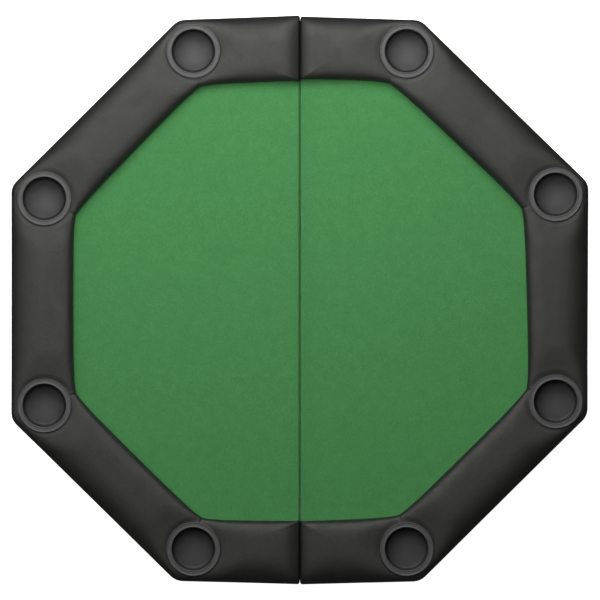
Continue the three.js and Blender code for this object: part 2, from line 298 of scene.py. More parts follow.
def combine(tree, operation, a, b):
    node = tree.nodes.new("ShaderNodeMath")
    node.operation = operation
    for socket, value in zip(node.inputs, (a, b)):
        if isinstance(value, (int, float)):
            socket.default_value = value
        else:
            tree.links.new(value, socket)
    return node.outputs["Value"]


def two_tone(tree, factor, first, second):
    node = tree.nodes.new("ShaderNodeMix")
    node.data_type = "RGBA"
    tree.links.new(factor, node.inputs["Factor"])
    for socket, colour in (("A", first), ("B", second)):
        target = [s for s in node.inputs if s.name == socket and s.type == "RGBA"][0]
        if isinstance(colour, tuple):
            target.default_value = (*colour, 1)
        else:
            tree.links.new(colour, target)
    return [s for s in node.outputs if s.type == "RGBA"][0]


def bump(tree, shader, height, depth, under=None):
    """Relief of that depth in metres, on top of a coarser relief if there is one."""
    node = tree.nodes.new("ShaderNodeBump")
    node.inputs["Strength"].default_value = 1.0
    node.inputs["Distance"].default_value = depth
    tree.links.new(height, node.inputs["Height"])
    if under is not None:
        tree.links.new(under, node.inputs["Normal"])
    tree.links.new(node.outputs["Normal"], shader.inputs["Normal"])
    return node.outputs["Normal"]


def leatherette():
    """Black vinyl with a fine pebbled grain."""
    made, tree, shader, place = start_material(
        "black_leatherette", (0.014, 0.014, 0.013), 0.5, Specular_IOR_Level=0.46)
    shader.inputs["Specular Tint"].default_value = (1, 1, 0.94, 1)
    tint = spread(tree, lumps(tree, place, 9, 3), 0, 1)
    colour = two_tone(tree, tint, (0.013, 0.013, 0.0124), (0.0184, 0.0182, 0.017))
    pores = cells(tree, place, 900)
    deep = spread(tree, pores, 0, 1, 0.2, 0.75)
    colour = two_tone(tree, deep, colour, (0.009, 0.009, 0.009))
    tree.links.new(colour, shader.inputs["Base Color"])
    rough = combine(tree, "ADD", spread(tree, lumps(tree, place, 45, 4), 0.46, 0.56),
                    spread(tree, pores, -0.03, 0.06))
    tree.links.new(rough, shader.inputs["Roughness"])
    creases = bump(tree, shader, lumps(tree, place, 160, 3), 0.25 * MM)
    bump(tree, shader, combine(tree, "SUBTRACT", 1, pores), 0.10 * MM, creases)
    return made


def felt_cloth():
    """Green speed cloth: short fibres over a fine plain weave."""
    made, tree, shader, place = start_material(
        "green_felt", (0.07, 0.27, 0.08), 0.93,
        Sheen_Weight=0.25, Sheen_Roughness=0.5, Specular_IOR_Level=0.2)
    shader.inputs["Sheen Tint"].default_value = (0.45, 0.9, 0.5, 1)
    axes = tree.nodes.new("ShaderNodeSeparateXYZ")
    tree.links.new(place, axes.inputs["Vector"])
    cloudy = spread(tree, lumps(tree, place, 62, 4), 0, 1)
    colour = two_tone(tree, cloudy, (0.061, 0.236, 0.070), (0.075, 0.277, 0.084))
    brushed = combine(tree, "MULTIPLY", spread(tree, axes.outputs["X"], 0.4, 0, 0, PILE_TURN),
                      spread(tree, axes.outputs["X"], 0, 1, 0, 1 * MM))
    colour = two_tone(tree, brushed, colour, (0.040, 0.165, 0.046))
    fibres = lumps(tree, place, 520, 4, 1.5)
    colour = two_tone(tree, spread(tree, fibres, 0, 0.75), colour, (0.040, 0.165, 0.050))
    tufts = lumps(tree, place, 190, 3, 0.5)
    colour = two_tone(tree, spread(tree, tufts, 0, 0.5), colour, (0.050, 0.205, 0.058))
    fluff = lumps(tree, stretched(tree, place, (1, 0.35, 1)), 900, 3, 2.0)
    colour = two_tone(tree, spread(tree, fluff, 0, 0.5, 0.55, 0.75), colour, (0.13, 0.40, 0.15))
    tree.links.new(colour, shader.inputs["Base Color"])
    tree.links.new(spread(tree, fibres, 0.86, 0.98), shader.inputs["Roughness"])
    warp = waves(tree, place, 420, "X")
    weft = waves(tree, place, 420, "Y")
    under = bump(tree, shader, combine(tree, "MULTIPLY", warp, weft), 0.15 * MM)
    bump(tree, shader, combine(tree, "ADD", fibres, fluff), 0.35 * MM, under)
    return made


def moulded_plastic():
    """Satin black plastic with a fine spark texture. Painted shade darkens it below the rim, and makes
    the floor darker still and rougher towards the wall, round a painted lit stretch near the floor's
    middle. A cup holder's own origin is on its middle."""
    made, tree, shader, place = start_material(
        "satin_black_plastic", (0.044, 0.044, 0.044), 0.45, Specular_IOR_Level=0.58)
    reach = tree.nodes.new("ShaderNodeVectorMath")
    reach.operation = "DISTANCE"
    tree.links.new(stretched(tree, place, (1, 1, 0)), reach.inputs[0])
    reach.inputs[1].default_value = PAINTED_LIGHT_MIDDLE
    axes = tree.nodes.new("ShaderNodeSeparateXYZ")
    tree.links.new(place, axes.inputs["Vector"])
    outwards = spread(tree, reach.outputs["Value"], 0, 1, *CUP_SHADE["from_middle"])
    inside = spread(tree, axes.outputs["Z"], 1, 0, *CUP_SHADE["up_the_wall"])
    cup_shade = combine(tree, "MULTIPLY", outwards, inside)
    tint = spread(tree, lumps(tree, place, 20, 3), 0, 1)
    colour = two_tone(tree, tint, (0.042, 0.042, 0.0415), (0.051, 0.051, 0.050))
    # painted shade: darker below the rim
    colour = two_tone(tree, inside, colour, (0.015, 0.015, 0.016))
    # painted shade: darker still towards the wall, round the painted lit stretch
    colour = two_tone(tree, cup_shade, colour, (0.007, 0.007, 0.007))
    tree.links.new(colour, shader.inputs["Base Color"])
    spark = lumps(tree, place, 1500, 2)
    rough = combine(tree, "ADD", spread(tree, lumps(tree, place, 60, 3), 0.46, 0.54),
                    spread(tree, spark, -0.03, 0.03))
    rough = combine(tree, "ADD", rough, combine(tree, "MULTIPLY", cup_shade, 0.25))
    tree.links.new(rough, shader.inputs["Roughness"])
    bump(tree, shader, spark, 0.05 * MM)
    return made


def fibreboard():
    made, tree, shader, place = start_material("fibreboard", (0.33, 0.22, 0.13), 0.8)
    flecks = lumps(tree, stretched(tree, place, (1, 0.4, 1)), 420, 4, 1.0)
    colour = two_tone(tree, spread(tree, lumps(tree, place, 12, 3), 0, 1),
                      (0.30, 0.20, 0.115), (0.37, 0.26, 0.155))
    colour = two_tone(tree, spread(tree, flecks, 0, 0.8, 0.5, 0.75), colour, (0.17, 0.10, 0.055))
    tree.links.new(colour, shader.inputs["Base Color"])
    tree.links.new(spread(tree, flecks, 0.7, 0.88), shader.inputs["Roughness"])
    bump(tree, shader, flecks, 0.1 * MM)
    return made


def plywood():
    made, tree, shader, place = start_material("plywood", (0.45, 0.31, 0.17), 0.7)
    grain = waves(tree, stretched(tree, place, (1, 0.12, 1)), 60, "X", 6.0)
    plies = waves(tree, place, 180, "Z", 0.4)
    colour = two_tone(tree, spread(tree, grain, 0, 1, 0.1, 0.9),
                      (0.52, 0.37, 0.21), (0.40, 0.26, 0.13))
    colour = two_tone(tree, spread(tree, plies, 0, 0.45, 0.4, 0.8), colour, (0.26, 0.15, 0.07))
    tree.links.new(colour, shader.inputs["Base Color"])
    tree.links.new(spread(tree, grain, 0.62, 0.8, 0, 1), shader.inputs["Roughness"])
    bump(tree, shader, grain, 0.08 * MM)
    return made


def foam():
    made, tree, shader, place = start_material("foam", (0.62, 0.58, 0.46), 0.95)
    bubbles = cells(tree, place, 1100)
    colour = two_tone(tree, spread(tree, bubbles, 0, 1, 0.1, 0.7),
                      (0.36, 0.33, 0.25), (0.66, 0.62, 0.50))
    tree.links.new(colour, shader.inputs["Base Color"])
    tree.links.new(spread(tree, bubbles, 0.88, 0.99), shader.inputs["Roughness"])
    bump(tree, shader, bubbles, 0.4 * MM)
    return made


def zinc_steel():
    made, tree, shader, place = start_material("zinc_plated_steel", (0.6, 0.6, 0.6), 0.35,
                                               Metallic=1.0)
    spangle = cells(tree, place, 260)
    brushed = lumps(tree, stretched(tree, place, (1, 12, 1)), 300, 3)
    colour = two_tone(tree, spread(tree, spangle, 0, 1, 0.1, 0.7),
                      (0.52, 0.53, 0.55), (0.68, 0.67, 0.63))
    tree.links.new(colour, shader.inputs["Base Color"])
    rough = combine(tree, "ADD", spread(tree, brushed, 0.28, 0.42), spread(tree, spangle, -0.03, 0.05))
    tree.links.new(rough, shader.inputs["Roughness"])
    bump(tree, shader, brushed, 0.03 * MM)
    return made


def rubber():
    made, tree, shader, place = start_material("foot_rubber", (0.02, 0.02, 0.02), 0.85)
    dust = lumps(tree, place, 90, 5)
    tree.links.new(two_tone(tree, spread(tree, dust, 0, 0.5, 0.5, 0.8),
                            (0.016, 0.016, 0.016), (0.09, 0.085, 0.08)),
                   shader.inputs["Base Color"])
    tree.links.new(spread(tree, dust, 0.75, 0.92), shader.inputs["Roughness"])
    bump(tree, shader, lumps(tree, place, 900, 2), 0.08 * MM)
    return made


# ---------------------------------------------------------------- plan of a half

def outline():
    """The left half's corners from the split at the back round to the split at the front."""
    points = [v.co.to_2d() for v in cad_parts["left_rail_cover"].data.vertices]
    ring = [points[i] for i in geometry.convex_hull_2d(points)]
    start = max(range(len(ring)), key=lambda i: (round(ring[i].x, 4), ring[i].y))
    ring = ring[start:] + ring[:start]
    corners = [ring[0]]
    for before, here, after in zip(ring, ring[1:], ring[2:] + ring[:1]):
        if abs((here - before).normalized().cross((after - here).normalized())) > 0.1:
            corners.append(here)
    corners = np.array([tuple(c) for c in corners])
    corners[[0, -1], 0] = SPLIT_X
    return corners


OUTLINE = outline()
SIDES = len(OUTLINE) - 1


def mitres():
    """Where each corner goes per metre of inset. The first and last stay on the split."""
    along = np.diff(OUTLINE, axis=0)
    along /= np.linalg.norm(along, axis=1)[:, None]
    inward = np.column_stack([-along[:, 1], along[:, 0]])
    made = [(0, 1 / inward[0][1])]
    for a, b in zip(inward, inward[1:]):
        made.append((a + b) / (1 + a @ b))
    made.append((0, 1 / inward[-1][1]))
    return np.array(made)


MITRES = mitres()


def cup_centres(half):
    numbers = range(1, 5) if half == "left" else range(5, 9)
    return [middle(f"cup_holder_{n}") for n in numbers]


def stations():
    """The side and the fraction along it of each cross-section, denser at corners and ends."""
    sides, fractions = [], []
    lengths = np.linalg.norm(np.diff(OUTLINE, axis=0), axis=1)
    for side, length in enumerate(lengths):
        even = np.linspace(0, 1, int(round(length / STEP)) + 1)
        if side == 0:
            placed = even ** END_CROWD
        elif side == SIDES - 1:
            placed = 1 - (1 - even) ** END_CROWD
        else:
            placed = even - CORNER_CROWD * np.sin(2 * math.pi * even)
        placed = placed if side == 0 else placed[1:]
        sides += [side] * len(placed)
        fractions += list(placed)
    return np.array(sides), np.array(fractions)[:, None]


def corner(half, number, inset):
    """A corner of the plan at each inset. Numbers past the split's corners give those."""
    number = np.clip(number, 0, SIDES)[:, None]
    share = np.clip(inset / RAIL_WIDTH, 0, 1)[..., None]
    outer = np.array(OUTER_SHIFT[half])[number] * MM
    inner = np.array(INNER_SHIFT[half])[number] * MM
    place = OUTLINE[number] + inset[..., None] * MITRES[number]
    return place + outer * (1 - share) + inner * share


def side_ends(half, sides, fractions, inset):
    """Both corners of each point's side at its inset, and the point's distances from them."""
    a = corner(half, sides, inset)
    b = corner(half, sides + 1, inset)
    length = np.linalg.norm(b - a, axis=2)
    return a, b, fractions * length, (1 - fractions) * length


def direction(start, end):
    """The way from each start to its end, or nothing where they are the same."""
    return (end - start) / (np.linalg.norm(end - start, axis=2) + 1e-9)[..., None]


def plan(half, sides, fractions, inset):
    """Where the points of each cross-section lie in plan, with rounded corners."""
    a, b, behind, ahead = side_ends(half, sides, fractions, inset)
    share = np.clip(inset / RAIL_WIDTH, 0, 1)
    reach = CORNER_ROUND["outer"] * (1 - share) + CORNER_ROUND["inner"] * share
    points = a + (b - a) * fractions[..., None]
    near_a = (sides > 0)[:, None] & (behind < reach)
    near_b = (sides < SIDES - 1)[:, None] & (ahead < reach)
    before = direction(corner(half, sides - 1, inset), a)
    here = direction(a, b)
    after = direction(b, corner(half, sides + 2, inset))
    points = np.where(near_a[..., None], bend(a, before, here, behind, reach), points)
    return np.where(near_b[..., None], bend(b, here, after, -ahead, reach), points)


def bend(tip, before, after, distance, reach):
    """A rounded corner: the point at a distance past the corner, negative before it."""
    out = ((reach + distance) ** 2 / (4 * reach))[..., None]
    back = ((reach - distance) ** 2 / (4 * reach))[..., None]
    return tip + after * out - before * back


def turned(points, half):
    """Points of the left half as they lie on the given half."""
    flip = 1 if half == "left" else -1
    return np.asarray(points) * (flip, flip, 1)


# ---------------------------------------------------------------- rail

def low_section():
    """The cover's section below the crown: in under the board, and up its outer side."""
    under = [(inset, UNDER_Z) for inset in np.linspace(TURN_IN, EDGE_ROUND, 6)]
    edge = [
        (EDGE_ROUND * (1 - math.sin(a)), UNDER_Z + EDGE_ROUND * (1 - math.cos(a)))
        for a in np.linspace(0, math.pi / 2, 5)[1:]
    ]
    wall = [(0, z) for z in np.linspace(UNDER_Z + EDGE_ROUND, FOOT_Z, 6)[1:-1]]
    return np.array(under + edge + wall)


def crown(top, power_outer, power_inner, depth):
    """The rail's padded crown, outer side first: insets and heights of points across each
    cross-section, closest together at its edges. It lies deeper than the cover's outer face
    by the depth given."""
    even = np.linspace(-1, 1, FINE_POINTS)[None]
    across = np.sign(even) * (1 - (1 - np.abs(even)) ** 3)
    power = np.where(across < 0, power_outer, power_inner)
    up = (1 - np.abs(across) ** power) ** (1 / power)
    half = RAIL_WIDTH / 2
    return half + (half - depth) * across + 0 * top, FOOT_Z + (top - FOOT_Z - depth) * up


def evenly(inset, height):
    """The same cross-sections with CROWN_POINTS points each, equally far apart."""
    step = np.hypot(np.diff(inset, axis=1), np.diff(height, axis=1))
    run = np.column_stack([np.zeros(len(step)), np.cumsum(step, axis=1)])
    even = np.linspace(0, run[:, -1], CROWN_POINTS).T
    return [np.array([np.interp(e, r, v) for e, r, v in zip(even, run, values)])
            for values in (inset, height)]


def cup_distance(points, half):
    """Distance of each point of the left half's plan from its nearest cup holder's middle."""
    centres = turned([(*c, 0) for c in cup_centres(half)], half)[:, :2]
    return np.min([np.linalg.norm(points - c, axis=-1) for c in centres], axis=0)


def quarter(distance, reach):
    """1 at an edge, 0 at reach from it, along a quarter circle."""
    return 1 - np.sqrt(1 - (1 - np.clip(distance / reach, 0, 1)) ** 2)


def split_distance(half, sides, fractions, inset):
    """How far each point is from the split, and whether the end is the one at the back."""
    _, _, behind, ahead = side_ends(half, sides, fractions, inset)
    distance = np.where((sides == 0)[:, None], behind, AWAY)
    distance = np.where((sides == SIDES - 1)[:, None], ahead, distance)
    return distance, (sides == 0)[:, None]


def rail_section(half, depth, low):
    """The insets and heights of every cross-section's points, with the padding's shape."""
    sides, fractions = stations()
    level = np.full((len(sides), 1), RAIL_TOP)
    plain, _ = crown(level, CROWN_POWER["outer"], CROWN_POWER["inner"], depth)
    places = plan(half, sides, fractions, plain)
    near_cup = 1 - smooth(*DIMPLE, cup_distance(places, half))
    split, _ = split_distance(half, sides, fractions, plain)
    end = 1 - smooth(0, END_TIGHT, split)
    groove = 1 - smooth(RIM_RADIUS - RIM_GROOVE["inside"], RIM_RADIUS + RIM_GROOVE["width"],
                        cup_distance(places, half))
    top = RAIL_TOP - SETTLED + SWELL * (1 - near_cup) - RIM_GROOVE["depth"] * groove
    fall = END_FALL[half]
    top = top - fall["drop"] * (1 - np.clip(split / fall["reach"], 0, 1)) ** fall["power"]
    top = top - END_DROP * quarter(split, END_ROUND)
    inset, height = evenly(*crown(
        top,
        CROWN_POWER["outer"] + SQUARER["cup"] * near_cup + SQUARER["end_outer"] * end,
        CROWN_POWER["inner"] + SQUARER["cup"] * near_cup + SQUARER["end_inner"] * end,
        depth,
    ))
    inset = np.concatenate([np.broadcast_to(low[:, 0], (len(sides), len(low))), inset], axis=1)
    height = np.concatenate([np.broadcast_to(low[:, 1], (len(sides), len(low))), height], axis=1)
    return sides, fractions, inset, height


def inner_bow(half, sides, fractions, inset):
    """How much further in the rail's inner edge lies, towards the inner corners."""
    edge = np.full(fractions.shape, RAIL_WIDTH)
    _, _, behind, ahead = side_ends(half, sides, fractions, edge)
    bow = np.where((sides > 0)[:, None], np.exp(-behind / INNER_BOW["length"]), 0)
    bow = bow + np.where((sides < SIDES - 1)[:, None], np.exp(-ahead / INNER_BOW["length"]), 0)
    return INNER_BOW["wide"] * bow * smooth(0.5, 1, inset / RAIL_WIDTH)


def notch(half, sides, fractions, inset):
    """How far the rail's outer side draws in at the split, where the cover is folded round."""
    split, back = split_distance(half, sides, fractions, inset)
    depth = np.where(back, NOTCH["back"], NOTCH["front"])
    return depth * quarter(split, NOTCH["reach"]) * (1 - smooth(0, 0.5, inset / RAIL_WIDTH))


def unevenness(half, sides, fractions, inset):
    """Displacement along the surface's normal: lumps of the padding, stretch marks and pleats."""
    places = plan(half, sides, fractions, inset)
    _, _, behind, ahead = side_ends(half, sides, fractions, inset)
    flat = np.concatenate([places, inset[..., None]], axis=2).reshape(-1, 3)
    lumpy = LUMPS["height"] * noise_field(flat, LUMPS["size"], SEED[half]).reshape(inset.shape)
    run = np.where(sides[:, None] % 2 == 0, places[..., 1], places[..., 0] + places[..., 1])
    ribs = np.stack([run, sides[:, None] + 0 * run, inset / STRETCH["longer"]], axis=2)
    marks = noise_field(ribs.reshape(-1, 3), STRETCH["size"], SEED[half] + STRETCH["seed"])
    share = inset / RAIL_WIDTH
    stretch = (STRETCH["height"] * marks).reshape(inset.shape) * smooth(*STRETCH["across"], share)
    # A pleat where the cover is folded at each inner corner.
    behind = np.where((sides > 0)[:, None], behind, AWAY)
    mitre = np.minimum(behind, np.where((sides < SIDES - 1)[:, None], ahead, AWAY))
    valley = np.exp(-(mitre / PLEAT["width"]) ** 2)
    ridge = np.exp(-((mitre - PLEAT["ridge_at"] * PLEAT["width"]) / PLEAT["width"]) ** 2)
    pleat = PLEAT["ridge"] * ridge - PLEAT["valley"] * valley
    pleat = pleat * smooth(*PLEAT["across"], share)
    return lumpy + stretch + pleat


def pucker(half, sides, fractions, inset):
    """The height of the fold that runs out from the inner corner of each end."""
    split, _ = split_distance(half, sides, fractions, inset)
    edge = RAIL_WIDTH - inset
    turn = math.radians(PUCKER[half])
    along = split * math.cos(turn) + edge * math.sin(turn)
    beside = edge * math.cos(turn) - split * math.sin(turn)
    fade = np.exp(-along / PUCKER["length"]) * smooth(0, PUCKER["start"], along)
    return PUCKER["height"] * np.exp(-(beside / PUCKER["width"]) ** 2) * fade


def section_normals(inset, height):
    """The outward normal of each cross-section at its points, as (inset, height)."""
    across = np.gradient(inset, axis=1)
    up = np.gradient(height, axis=1)
    length = np.hypot(across, up) + 1e-9
    return -up / length, across / length


def rail_points(half, depth, low, cover=True):
    """Rows of points over the rail, one row per cross-section. The cover has folds of its own
    and rows that close its ends."""
    sides, fractions, inset, height = rail_section(half, depth, low)
    across, up = section_normals(inset, height)
    push = unevenness(half, sides, fractions, inset)
    if cover:
        push = push + pucker(half, sides, fractions, inset)
    push = push * smooth(FOOT_Z, FOOT_Z + UNEVEN_FADE, height)
    inset = (inset + inner_bow(half, sides, fractions, inset)
             + notch(half, sides, fractions, inset))
    inset = inset + across * push
    height = height + up * push
    points = np.concatenate([plan(half, sides, fractions, inset), height[..., None]], axis=2)
    if not cover:
        return points
    rows = list(points)
    front = end_rows(points[-1], inset[-1], len(low))
    back = end_rows(points[0], inset[0], len(low))
    return np.array(back[::-1] + rows + front)


def end_rows(row, inset, low_count):
    """Rows that close an end of the rail: they shrink to the corner that the board and the
    felt make there."""
    inward = -np.sign(row[0][1])
    edge = row[:, 1] - inward * inset
    turn = np.argmax(inset[low_count:] > TURN_IN) + low_count
    rise = np.linspace(UNDER_Z, FOOT_Z, turn)
    target_z = np.concatenate([rise, np.full(len(row) - turn, FOOT_Z)])
    target_inset = np.concatenate([np.full(turn, TURN_IN), inset[turn:]])
    target = np.column_stack([row[:, 0], edge + inward * target_inset, target_z])
    return [row + (target - row) * share for share in np.linspace(0, 1, END_ROWS + 1)[1:]]


def cut_cup_holes(mesh_object, centres, radius, lip):
    """Opens a round hole at each centre in the top of a sheet, with a lip down into it."""
    shape = bmesh.new()
    shape.from_mesh(mesh_object.data)
    for x, y in centres:
        inside = [
            f for f in shape.faces
            if f.calc_center_median().z > HIGH_Z
            and any(math.hypot(v.co.x - x, v.co.y - y) < radius for v in f.verts)
        ]
        bmesh.ops.delete(shape, geom=inside, context="FACES")
        rim = [e for e in shape.edges if e.is_boundary and all(
            math.hypot(v.co.x - x, v.co.y - y) < radius + HOLE_SEARCH and v.co.z > HIGH_Z
            for v in e.verts)]
        for vertex in {v for e in rim for v in e.verts}:
            away = Vector((vertex.co.x - x, vertex.co.y - y)).normalized() * radius
            vertex.co.x, vertex.co.y = x + away.x, y + away.y
        for ring_radius, z in lip:
            made = bmesh.ops.extrude_edge_only(shape, edges=rim)["geom"]
            rim = [e for e in made if isinstance(e, bmesh.types.BMEdge)]
            for vertex in {v for e in rim for v in e.verts}:
                away = Vector((vertex.co.x - x, vertex.co.y - y)).normalized() * ring_radius
                vertex.co = (x + away.x, y + away.y, z)
    face_outwards(shape)
    shape.to_mesh(mesh_object.data)
    shape.free()


def face_outwards(shape):
    """Makes an open sheet's normals agree, with its top facing up."""
    bmesh.ops.recalc_face_normals(shape, faces=shape.faces)
    top = max(shape.faces, key=lambda f: f.calc_center_median().z)
    if top.normal.z < 0:
        bmesh.ops.reverse_faces(shape, faces=shape.faces)
    for face in shape.faces:
        face.smooth = True


def rail_cover(half, material):
    rows = rail_points(half, 0, low_section())
    count, width, _ = rows.shape
    cover = new_object(f"{half}_cover", turned(rows.reshape(-1, 3), half),
                       grid_faces(count, width), material)
    cut_cup_holes(cover, cup_centres(half), HOLE_RADIUS, HOLE_LIP)
    skin = cover.modifiers.new("thickness", "SOLIDIFY")
    skin.thickness = COVER_THICK
    skin.offset = -1
    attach(cover, f"{half}_half")
    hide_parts(f"{half}_rail_cover")


def foam_low():
    """The foam's section below its crown, from the inner side of the plywood over it and down
    its outer side."""
    base_low, base_high = BASE_BOX[0][2], BASE_BOX[1][2] + FOAM_GAP
    outer = BASE_BOX[0][0] - COVER_BOX[0][0] - FOAM_GAP
    inner = RAIL_WIDTH - outer - 2 * FOAM_GAP
    over = [(inset, base_high) for inset in np.linspace(inner, outer, 8)]
    down = [(outer, base_low), (FOAM_DEPTH, base_low)]
    return np.array([(inner, FOOT_Z)] + over + down)


def clear_of_split(rows, limit):
    """Leaves out the cross-sections closer to the split than the limit."""
    return rows[rows[:, :, 0].max(axis=1) < -limit]


def rail_foam(half, material):
    low = foam_low()
    rows = clear_of_split(rail_points(half, FOAM_DEPTH, low, cover=False), END_ROUND)
    count, width, _ = rows.shape
    rows = np.concatenate([rows, rows[:, :1]], axis=1)
    faces = grid_faces(count, width + 1)
    body = new_object(f"{half}_foam_body", turned(rows.reshape(-1, 3), half), faces, material)
    shape = bmesh.new()
    shape.from_mesh(body.data)
    bmesh.ops.remove_doubles(shape, verts=shape.verts, dist=WELD)
    bmesh.ops.holes_fill(shape, edges=[e for e in shape.edges if e.is_boundary])
    bmesh.ops.recalc_face_normals(shape, faces=shape.faces)
    shape.to_mesh(body.data)
    shape.free()
    bore(body, cup_centres(half), FOAM_HOLE)
    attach(body, f"{half}_half")
    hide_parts(f"{half}_rail_foam")


def bore(body, centres, radius):
    """Cuts an upright round hole through a body at each centre."""
    drill = [(0, 0), (radius, 0), (radius, 2 * RAIL_TOP), (0, 2 * RAIL_TOP)]
    for x, y in centres:
        tool = lathe("drill", drill, DRILL_SIDES, body.data.materials[0])
        tool.location = (x, y, 0)
        subtract(body, tool)


def subtract(body, tool):
    """Takes a tool's shape out of a body's own mesh, and the tool out of the scene."""
    cut = body.modifiers.new("cut", "BOOLEAN")
    cut.object = tool
    cut.solver = "EXACT"
    bpy.context.view_layer.update()
    shape = bpy.data.meshes.new_from_object(
        body.evaluated_get(bpy.context.evaluated_depsgraph_get()))
    body.modifiers.remove(cut)
    body.data = shape
    bpy.data.objects.remove(tool)


def wire(path, width, height):
    """Vertices and faces of a flat wire bent along a path in X and Z."""
    vertices = []
    for i, (x, z) in enumerate(path):
        before, after = path[max(i - 1, 0)], path[min(i + 1, len(path) - 1)]
        way = Vector((after[0] - before[0], after[1] - before[1])).normalized()
        side = (-way.y * height / 2, way.x * height / 2)
        for across, sign in SQUARE:
            vertices.append((x + sign * side[0], across * width / 2, z + sign * side[1]))
    faces = [(0, 1, 2, 3)]
    for i in range(len(path) - 1):
        for k in range(4):
            a, b = 4 * i + k, 4 * i + (k + 1) % 4
            faces.append((a, a + 4, b + 4, b))
    last = 4 * (len(path) - 1)
    faces.append((last + 3, last + 2, last + 1, last))
    return vertices, faces


def staples(half, material):
    """Staples that hold the cover's turned-in edge to the underside of the board."""
    reach, rise = STAPLE["length"] / 2, STAPLE["leg"]
    path = [(-reach, rise), (-reach, STAPLE["bend"]), (-reach + STAPLE["bend"], 0),
            (reach - STAPLE["bend"], 0), (reach, STAPLE["bend"]), (reach, rise)]
    shape, sides = wire(path, STAPLE["width"], STAPLE["height"])
    dice = random.Random(STAPLE["seed"] + len(half))
    vertices, faces = [], []
    for side in range(SIDES):
        inset = np.full((1, 1), STAPLE["inset"])
        a = corner(half, np.array([side]), inset)[0, 0]
        b = corner(half, np.array([side + 1]), inset)[0, 0]
        length = np.linalg.norm(b - a)
        count = int((length - 2 * STAPLE["clear"]) / STAPLE["apart"])
        for t in np.linspace(STAPLE["clear"] / length, 1 - STAPLE["clear"] / length, count):
            place = Vector((*(a + (b - a) * t), UNDER_Z - STAPLE["height"] / 2))
            crooked = math.radians(dice.uniform(-STAPLE["crooked"], STAPLE["crooked"]))
            turn = math.atan2(*(b - a)[::-1]) + crooked
            move = Matrix.Translation(place) @ Matrix.Rotation(turn, 4, "Z")
            faces += [tuple(i + len(vertices) for i in face) for face in sides]
            vertices += [move @ Vector(v) for v in shape]
    made = new_object(f"{half}_staples", turned(vertices, half), faces, material)
    made.data.polygons.foreach_set("use_smooth", [False] * len(made.data.polygons))
    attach(made, f"{half}_half")


# ---------------------------------------------------------------- felt

def felt_rows(half):
    """Rows of points across the left half's felt, from the rail to the split, round the board's
    edge and down between the boards, where the two felts press together."""
    sides, fractions = stations()
    inset = np.full(fractions.shape, COVER_BOX[1][1] - FELT_BOX[1][1])
    edge = OUTLINE[sides] + inset * MITRES[sides]
    edge = edge + (OUTLINE[sides + 1] + inset * MITRES[sides + 1] - edge) * fractions
    low, high = edge[:, 1].min(), edge[:, 1].max()
    order = np.argsort(edge[:, 1])
    fold = [
        (FELT_END[half] - FELT_FOLD * (1 - math.sin(a)), FELT_TOP - FELT_FOLD * (1 - math.cos(a)))
        for a in np.linspace(0, math.pi / 2, 7)
    ]
    rows = []
    for y in np.linspace(low, high, int((high - low) / FELT_STEP) + 1):
        start = np.interp(y, edge[order, 1], edge[order, 0])
        across = np.linspace(start, fold[0][0], FELT_COLUMNS)[:-1]
        rows.append([(x, y, FELT_TOP) for x in across] + [(x, y, z) for x, z in fold + FELT_TUCK])
    return np.array(rows)


def felt_sheet(half, material):
    rows = felt_rows(half)
    count, width, _ = rows.shape
    points = rows.reshape(-1, 3).copy()
    waved = noise_field(points, FELT_WAVES["size"], SEED[half] + FELT_WAVES["seed"])
    points[:, 2] += FELT_WAVES["height"] * waved
    sheet = new_object(f"{half}_felt_sheet", turned(points, half),
                       grid_faces(count, width), material)
    shape = bmesh.new()
    shape.from_mesh(sheet.data)
    face_outwards(shape)
    shape.to_mesh(sheet.data)
    shape.free()
    skin = sheet.modifiers.new("thickness", "SOLIDIFY")
    skin.thickness = FELT_THICK
    skin.offset = -1
    thick = sheet.vertex_groups.new(name="thick")
    thick.add([i for i in range(count * width) if i % width < width - len(FELT_TUCK)], 1, "ADD")
    skin.vertex_group = "thick"
    skin.thickness_vertex_group = TUCK_THIN
    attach(sheet, f"{half}_half")
    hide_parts(f"{half}_felt")


# ---------------------------------------------------------------- cup holders

def rounded(points):
    """A profile with its corners rounded. Each point has its rounding last, and 0 leaves it."""
    made = []
    corners = [(x, z) for x, z, _ in points]
    for i, (x, z, radius) in enumerate(points):
        here = Vector((x, z))
        if radius == 0:
            made.append(tuple(here))
            continue
        a = (Vector(corners[i - 1]) - here).normalized()
        b = (Vector(corners[i + 1]) - here).normalized()
        reach = radius / math.tan(a.angle(b) / 2)
        start, end = here + a * reach, here + b * reach
        for k in range(ARC_STEPS + 1):
            t = k / ARC_STEPS
            made.append(tuple(start * (1 - t) ** 2 + here * 2 * t * (1 - t) + end * t * t))
    return made


def lathe(name, profile, sides, material):
    """A solid of revolution about Z. The profile starts and ends on the axis."""
    vertices = [(0, 0, profile[0][1])]
    ring = profile[1:-1]
    for radius, z in ring:
        for k in range(sides):
            turn = 2 * math.pi * k / sides
            vertices.append((radius * math.cos(turn), radius * math.sin(turn), z))
    vertices.append((0, 0, profile[-1][1]))
    last = len(vertices) - 1
    faces = []
    for k in range(sides):
        step = (k + 1) % sides
        faces.append((0, 1 + step, 1 + k))
        for r in range(len(ring) - 1):
            low, high = 1 + r * sides, 1 + (r + 1) * sides
            faces.append((low + k, low + step, high + step, high + k))
        top = 1 + (len(ring) - 1) * sides
        faces.append((top + k, top + step, last))
    return new_object(name, vertices, faces, material)


